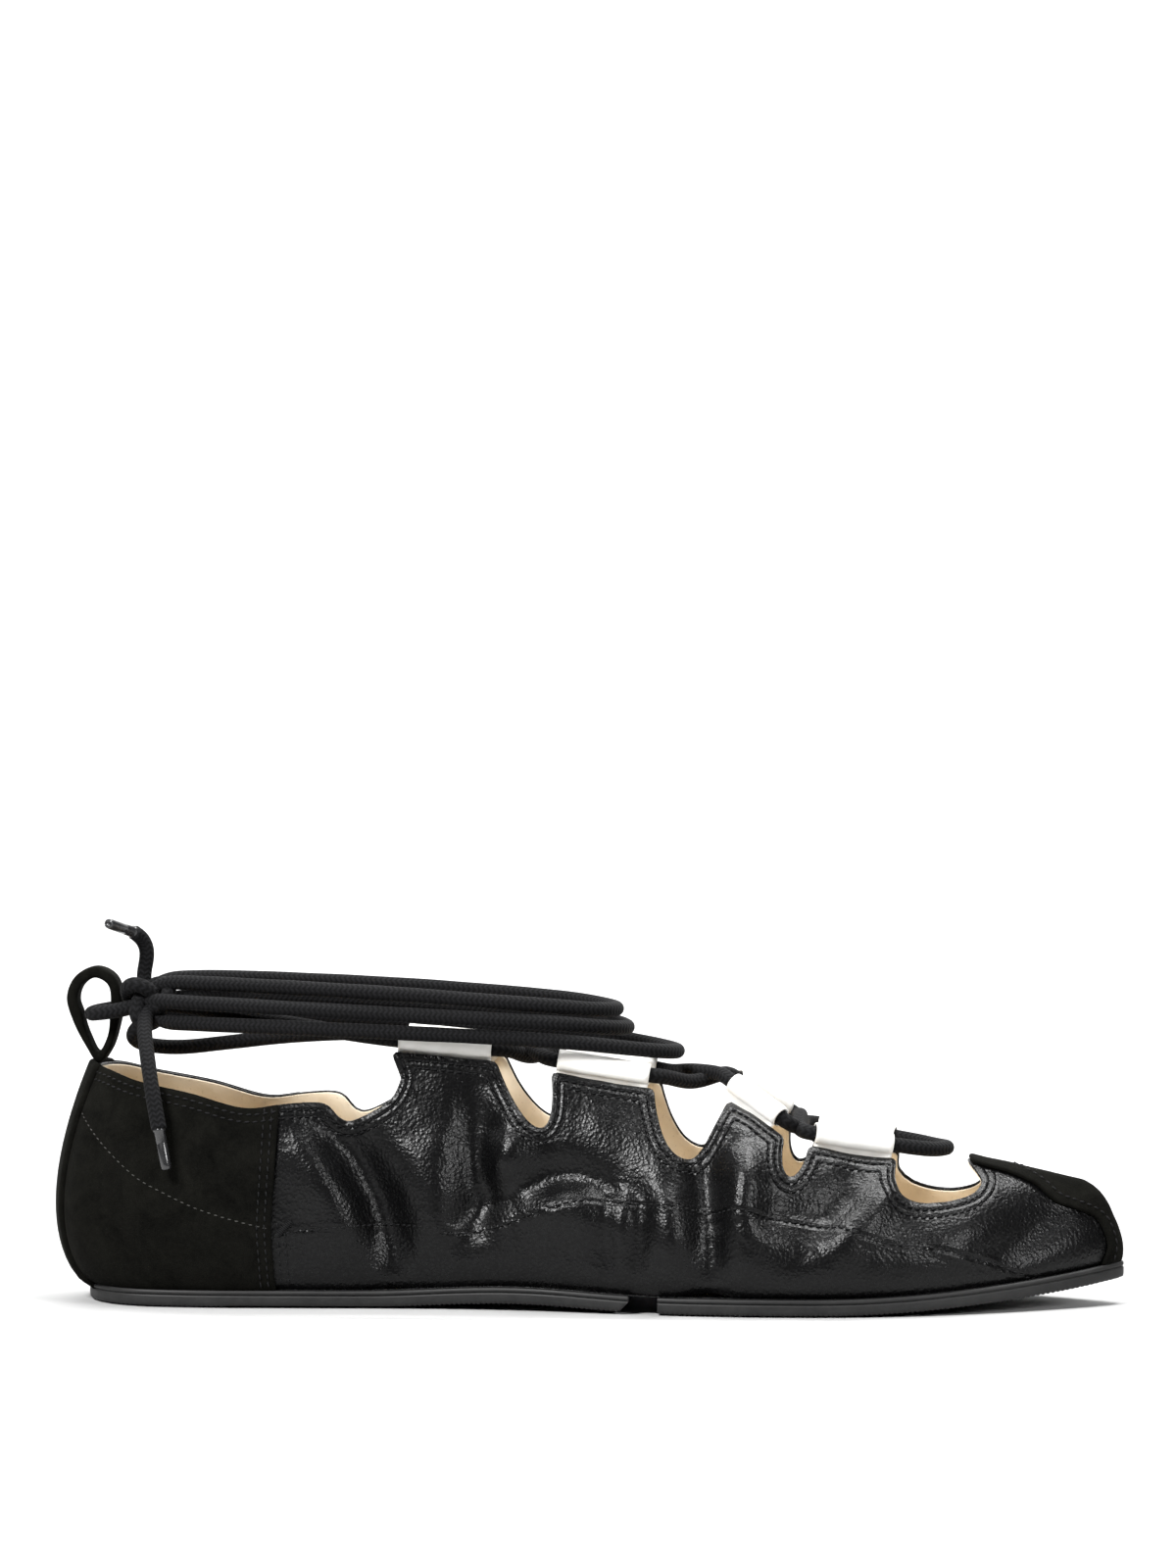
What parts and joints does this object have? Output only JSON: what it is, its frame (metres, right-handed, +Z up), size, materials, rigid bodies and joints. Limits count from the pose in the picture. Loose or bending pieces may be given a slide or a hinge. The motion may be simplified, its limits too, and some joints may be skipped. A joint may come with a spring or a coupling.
{
  "type": "lace-up ballerina flat",
  "caption": "Right lace-up ballerina flat in gathered black leather with suede heel and toe, pale lace tunnels on scalloped tabs and a round lace tied at the heel loop.",
  "frame": {"origin": "middle of the underside of the shoe without its free lace, on the floor it stands on", "axes": "+X towards the toe, +Y towards the inner side of the foot, +Z up"},
  "size_m": [0.2712, 0.0752, 0.0973],
  "materials": {
    "smooth_leather": "pebbled, semi-gloss",
    "suede": "napped, matte",
    "lining_leather": "smooth, satin",
    "pale_leather": "smooth, satin",
    "sole_rubber": "matte",
    "lace_cotton": "braided, matte",
    "aglet_plastic": "glossy"
  },
  "bodies": {
    "root": {"outsole_heel": "sole_rubber", "outsole_forefoot": "sole_rubber", "insole": "lining_leather", "upper": "smooth_leather", "quarter_outer": "suede", "quarter_inner": "suede", "back_strip": "suede", "toe_cap": "suede", "pull_loop": "suede", "lace_loop_outer_1": "pale_leather", "lace_loop_inner_1": "pale_leather", "lace_loop_outer_2": "pale_leather", "lace_loop_inner_2": "pale_leather", "lace_loop_outer_3": "pale_leather", "lace_loop_inner_3": "pale_leather", "lace_loop_outer_4": "pale_leather", "lace_loop_inner_4": "pale_leather", "lace_cross_1": "lace_cotton", "lace_cross_2": "lace_cotton", "lace_cross_3": "lace_cotton", "lace_front_bar": "lace_cotton", "lace_strand_outer": "lace_cotton", "lace_strand_inner": "lace_cotton", "lace_wrap_1": "lace_cotton", "lace_wrap_2": "lace_cotton", "lace_wrap_3": "lace_cotton", "lace_knot": "lace_cotton", "lace_end_up": "lace_cotton", "lace_end_down": "lace_cotton", "aglet_up": "aglet_plastic", "aglet_down": "aglet_plastic"}
  },
  "joints": []
}
